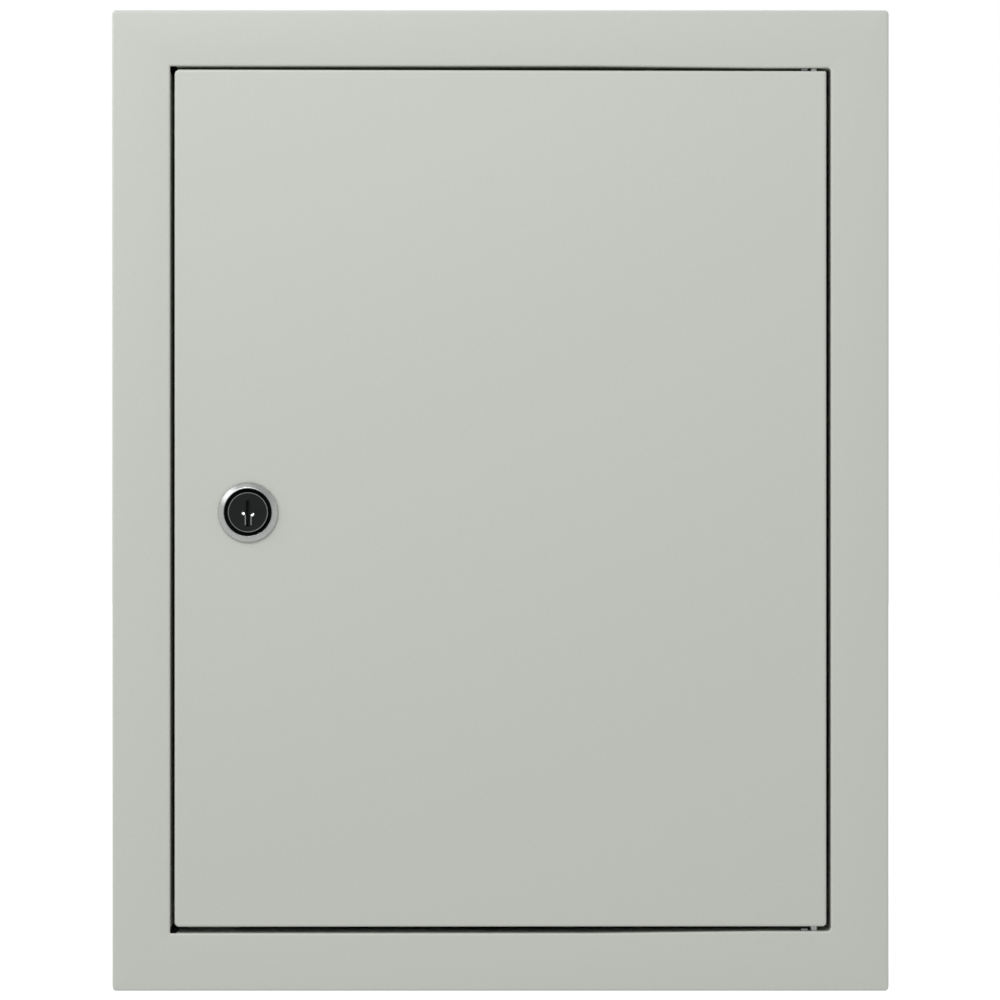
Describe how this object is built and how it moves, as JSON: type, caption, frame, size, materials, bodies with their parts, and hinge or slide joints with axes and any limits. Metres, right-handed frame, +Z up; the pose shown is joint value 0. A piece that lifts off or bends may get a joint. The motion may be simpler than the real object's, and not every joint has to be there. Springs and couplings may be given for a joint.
{
  "type": "flush fire alarm control panel",
  "caption": "Flush-mounted sheet-steel alarm panel: plain lockable hinged door in a trim frame over a backbox with boards, power supply, terminals and batteries.",
  "frame": {"origin": "centre of the backbox's flat rear face, which bolts to the back of the wall recess", "axes": "+Y points into the wall, out of the rear face; the door faces -Y; +Z is up; +X is to the right for someone facing the door, towards the hinges"},
  "size_m": [0.34, 0.1226, 0.4294],
  "materials": {
    "grey_powder_coat": "light grey powder coat with a fine orange-peel texture, satin",
    "zinc_plate": "bright zinc plate over folded sheet steel",
    "bare_steel": "turned steel",
    "satin_chrome": "satin chrome",
    "black_chrome": "dark glossy lock face",
    "rubber": "matt black rubber",
    "circuit_board": "green glass-fibre board with solder resist",
    "terminal_green": "moulded green plastic",
    "black_plastic": "moulded black plastic",
    "grey_plastic": "moulded grey plastic",
    "fascia_plastic": "fine-grained dark grey plastic",
    "display_glass": "liquid-crystal display behind a clear window",
    "red_plastic": "red push-button plastic",
    "yellow_plastic": "yellow push-button plastic",
    "battery_case": "dark grey battery case",
    "red_wire": "red insulation",
    "black_wire": "black insulation",
    "blue_wire": "blue insulation",
    "brown_wire": "brown insulation",
    "earth_wire": "green and yellow insulation",
    "grey_wire": "grey ribbon insulation"
  },
  "bodies": {
    "cabinet": {"backbox": "zinc_plate", "top_plate": "zinc_plate", "bottom_plate": "zinc_plate", "cable_grommet_left": "rubber", "cable_grommet_right": "rubber", "trim_frame": "grey_powder_coat", "trim_screw_top_left": "zinc_plate", "trim_screw_top_right": "zinc_plate", "trim_screw_bottom_left": "zinc_plate", "trim_screw_bottom_right": "zinc_plate", "upper_door_buffer": "rubber", "lower_door_buffer": "rubber", "upper_hinge_lug": "zinc_plate", "lower_hinge_lug": "zinc_plate", "upper_hinge_pin": "zinc_plate", "lower_hinge_pin": "zinc_plate", "chassis_plate": "zinc_plate", "main_board": "circuit_board", "field_terminals_left": "terminal_green", "field_terminals_right": "terminal_green", "buzzer": "black_plastic", "upper_left_pillar": "bare_steel", "upper_right_pillar": "bare_steel", "lower_left_pillar": "bare_steel", "lower_right_pillar": "bare_steel", "display_board": "circuit_board", "display_fascia": "fascia_plastic", "lcd_screen": "display_glass", "key_switch_body": "satin_chrome", "psu_case": "zinc_plate", "psu_terminals": "black_plastic", "din_rail": "zinc_plate", "mains_terminals": "grey_plastic", "fuse_holder": "black_plastic", "battery_left": "battery_case", "battery_right": "battery_case", "battery_bracket": "zinc_plate", "battery_link": "black_wire", "battery_lead_positive": "red_wire", "battery_lead_negative": "black_wire", "psu_lead_positive": "red_wire", "psu_lead_negative": "black_wire", "mains_lead_live": "brown_wire", "mains_lead_neutral": "blue_wire", "earth_lead": "earth_wire", "box_earth_nut": "bare_steel", "ribbon_cable": "grey_wire"},
    "door": {"door_panel": "grey_powder_coat", "door_earth_nut": "bare_steel", "lock_body": "satin_chrome", "lock_nut": "zinc_plate"},
    "lock_core": {"lock_plug": "black_chrome", "lock_cam": "zinc_plate", "cam_screw": "zinc_plate"},
    "silence_cap": {"silence_button": "grey_plastic"},
    "reset_cap": {"reset_button": "grey_plastic"},
    "evacuate_cap": {"evacuate_button": "red_plastic"},
    "test_cap": {"test_button": "yellow_plastic"},
    "key_switch_core": {"key_switch_plug": "bare_steel"},
    "fuse_carrier": {"fuse_lever": "grey_plastic"}
  },
  "joints": [
    {"name": "door_hinge", "type": "hinge", "parent": "cabinet", "child": "door", "pos_m": [0.1374, -0.1158, 0], "axis": [0, 0, 1], "range_deg": [0, 110], "deforming": ["earth_lead"]},
    {"name": "lock_turn", "type": "hinge", "parent": "door", "child": "lock_core", "pos_m": [-0.1104, -0.12, -0.0051], "axis": [0, 1, 0], "range_deg": [0, 90]},
    {"name": "silence_press", "type": "slide", "parent": "cabinet", "child": "silence_cap", "axis": [0, 1, 0], "range_m": [0, 0.0015], "stiffness_N_per_m": 300},
    {"name": "reset_press", "type": "slide", "parent": "cabinet", "child": "reset_cap", "axis": [0, 1, 0], "range_m": [0, 0.0015], "stiffness_N_per_m": 300},
    {"name": "evacuate_press", "type": "slide", "parent": "cabinet", "child": "evacuate_cap", "axis": [0, 1, 0], "range_m": [0, 0.0015], "stiffness_N_per_m": 300},
    {"name": "test_press", "type": "slide", "parent": "cabinet", "child": "test_cap", "axis": [0, 1, 0], "range_m": [0, 0.0015], "stiffness_N_per_m": 300},
    {"name": "key_switch_turn", "type": "hinge", "parent": "cabinet", "child": "key_switch_core", "pos_m": [0.082, -0.066, 0.103], "axis": [0, 1, 0], "range_deg": [0, 90]},
    {"name": "fuse_lever_swing", "type": "hinge", "parent": "cabinet", "child": "fuse_carrier", "pos_m": [0.072, -0.0506, -0.061], "axis": [1, 0, 0], "range_deg": [0, 80]}
  ]
}
